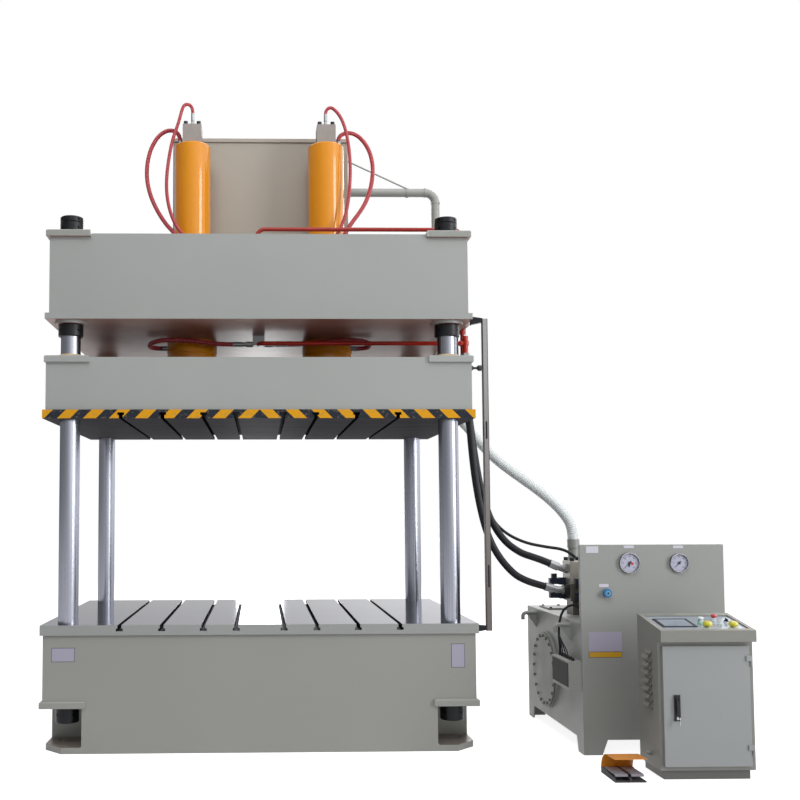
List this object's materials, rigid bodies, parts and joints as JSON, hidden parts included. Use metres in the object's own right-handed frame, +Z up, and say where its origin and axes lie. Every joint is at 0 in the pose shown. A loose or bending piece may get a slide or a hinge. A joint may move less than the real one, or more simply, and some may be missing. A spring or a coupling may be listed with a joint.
{
  "type": "four-column hydraulic press",
  "caption": "Four-column hydraulic press with slotted table and slide, overhead cylinders, power station, console and foot switch.",
  "frame": {"origin": "on the floor under the middle of the bed", "axes": "+Z up, -Y towards the operator's front, +X towards the power station"},
  "size_m": [5.084, 2.915, 5.2529],
  "materials": {
    "frame_paint": "satin grey paint",
    "station_paint": "satin warm grey paint",
    "console_paint": "fine textured warm grey paint",
    "ground_steel": "ground, lightly oiled",
    "chrome_rod": "hard chrome, polished",
    "black_steel": "blackened",
    "orange_paint": "gloss orange-yellow paint",
    "red_paint": "gloss red paint",
    "hood_paint": "gloss orange paint",
    "zinc_steel": "bright zinc plate",
    "bronze": "turned bronze with a cream wiper",
    "red_guard": "spiral guard",
    "black_rubber": "smooth cover",
    "white_hose": "ribbed, translucent",
    "black_plastic": "moulded",
    "blue_plastic": "moulded",
    "red_plastic": "moulded",
    "yellow_plastic": "moulded",
    "white_plastic": "moulded",
    "green_plastic": "moulded",
    "chrome_trim": "polished",
    "cast_grey": "painted casting",
    "grey_plastic": "moulded"
  },
  "bodies": {
    "press_frame": {"bed_weldment": "frame_paint", "bolster_plate": "ground_steel", "guide_columns": "chrome_rod", "crown_weldment": "frame_paint", "column_nuts": "black_steel", "cylinders": "orange_paint", "valve_blocks": "zinc_steel", "cap_screws": "black_steel", "header_tank": "station_paint", "return_pipe": "station_paint", "pressure_pipes": "red_paint", "hose_fittings": "zinc_steel", "hose_left_inner": "red_guard", "hose_left_outer": "red_guard", "hose_right_inner": "red_guard", "hose_right_outer": "red_guard", "hose_gland_left": "red_guard", "hose_gland_right": "red_guard", "main_hose_front": "black_rubber", "main_hose_rear": "black_rubber", "pilot_hose": "black_rubber", "return_hose": "white_hose", "valve_cable": "black_rubber", "switch_bar": "zinc_steel", "bar_brackets": "black_steel", "station_tank": "station_paint", "tank_covers": "station_paint", "valve_stack": "zinc_steel", "solenoid_valves": "black_plastic", "motor": "cast_grey", "pump_unit": "cast_grey", "terminal_box": "grey_plastic", "gauge_cases": "chrome_trim", "console_cabinet": "console_paint", "console_panel": "zinc_steel", "touch_screen": "black_plastic", "control_gear": "grey_plastic", "foot_base": "black_steel", "foot_hood": "hood_paint"},
    "slide": {"slide_weldment": "frame_paint", "slide_plate": "ground_steel", "guide_bushes": "bronze", "piston_rods": "chrome_rod"},
    "cabinet_door": {"console_door": "console_paint", "door_lock_base": "black_plastic"},
    "handle_hub": {"door_handle_hub": "black_plastic"},
    "handle_lever": {"door_lever": "black_plastic"},
    "key": {"door_key": "chrome_trim"},
    "coupling": {"drive_coupling": "cast_grey"},
    "left_needle": {"gauge_needle_left": "black_plastic"},
    "right_needle": {"gauge_needle_right": "black_plastic"},
    "relief_knob": {"relief_knob": "blue_plastic"},
    "stop_button": {"stop_button": "red_plastic"},
    "left_palm_button": {"palm_button_left": "yellow_plastic"},
    "right_palm_button": {"palm_button_right": "yellow_plastic"},
    "white_button": {"white_button": "white_plastic"},
    "green_button": {"green_button": "green_plastic"},
    "selector": {"selector_knob": "black_plastic"},
    "left_pedal": {"pedal_left": "grey_plastic"},
    "right_pedal": {"pedal_right": "grey_plastic"}
  },
  "joints": [
    {"name": "slide_travel", "type": "slide", "parent": "press_frame", "child": "slide", "axis": [0, 0, 1], "range_m": [-1.15, 0.06]},
    {"name": "door_hinge", "type": "hinge", "parent": "press_frame", "child": "cabinet_door", "pos_m": [3.193, -1.838, 0.5], "axis": [0, 0, 1], "range_deg": [0, 110]},
    {"name": "handle_turn", "type": "hinge", "parent": "cabinet_door", "child": "handle_hub", "pos_m": [2.701, -1.846, 0.528], "axis": [0, 1, 0], "range_deg": [0, 90]},
    {"name": "lever_pop_out", "type": "hinge", "parent": "handle_hub", "child": "handle_lever", "pos_m": [2.701, -1.853, 0.528], "axis": [-1, 0, 0], "range_deg": [0, 40]},
    {"name": "key_turn", "type": "hinge", "parent": "cabinet_door", "child": "key", "pos_m": [2.701, -1.849, 0.399], "axis": [0, 1, 0], "range_deg": [0, 90]},
    {"name": "coupling_spin", "type": "hinge", "parent": "press_frame", "child": "coupling", "pos_m": [3.01, -0.352, 1.113], "axis": [0, 1, 0], "continuous": true},
    {"name": "left_needle_turn", "type": "hinge", "parent": "press_frame", "child": "left_needle", "pos_m": [2.667, -1.175, 1.367], "axis": [0, 1, 0], "range_deg": [0, 270]},
    {"name": "right_needle_turn", "type": "hinge", "parent": "press_frame", "child": "right_needle", "pos_m": [3.029, -1.175, 1.366], "axis": [0, 1, 0], "range_deg": [0, 270]},
    {"name": "relief_knob_turn", "type": "hinge", "parent": "press_frame", "child": "relief_knob", "pos_m": [2.499, -1.18, 1.152], "axis": [0, 1, 0], "range_deg": [-180, 180]},
    {"name": "stop_press", "type": "slide", "parent": "press_frame", "child": "stop_button", "axis": [0, 0.1831, -0.9831], "range_m": [0, 0.005]},
    {"name": "left_palm_press", "type": "slide", "parent": "press_frame", "child": "left_palm_button", "axis": [0, 0.1831, -0.9831], "range_m": [0, 0.005], "stiffness_N_per_m": 1000, "springref_m": -0.003},
    {"name": "right_palm_press", "type": "slide", "parent": "press_frame", "child": "right_palm_button", "axis": [0, 0.1831, -0.9831], "range_m": [0, 0.005], "stiffness_N_per_m": 1000, "springref_m": -0.003},
    {"name": "white_press", "type": "slide", "parent": "press_frame", "child": "white_button", "axis": [0, 0.1831, -0.9831], "range_m": [0, 0.005], "stiffness_N_per_m": 1000, "springref_m": -0.003},
    {"name": "green_press", "type": "slide", "parent": "press_frame", "child": "green_button", "axis": [0, 0.1831, -0.9831], "range_m": [0, 0.005], "stiffness_N_per_m": 1000, "springref_m": -0.003},
    {"name": "selector_turn", "type": "hinge", "parent": "press_frame", "child": "selector", "pos_m": [3.115, -1.68038, 1.00262], "axis": [0, -0.1831, 0.9831], "range_deg": [-45, 45]},
    {"name": "left_pedal_press", "type": "hinge", "parent": "press_frame", "child": "left_pedal", "pos_m": [2.3255, -1.632, 0.032], "axis": [1, 0, 0], "range_deg": [0, 4], "stiffness_Nm_per_rad": 40, "springref_deg": -2.86},
    {"name": "right_pedal_press", "type": "hinge", "parent": "press_frame", "child": "right_pedal", "pos_m": [2.4275, -1.632, 0.032], "axis": [1, 0, 0], "range_deg": [0, 4], "stiffness_Nm_per_rad": 40, "springref_deg": -2.86}
  ]
}
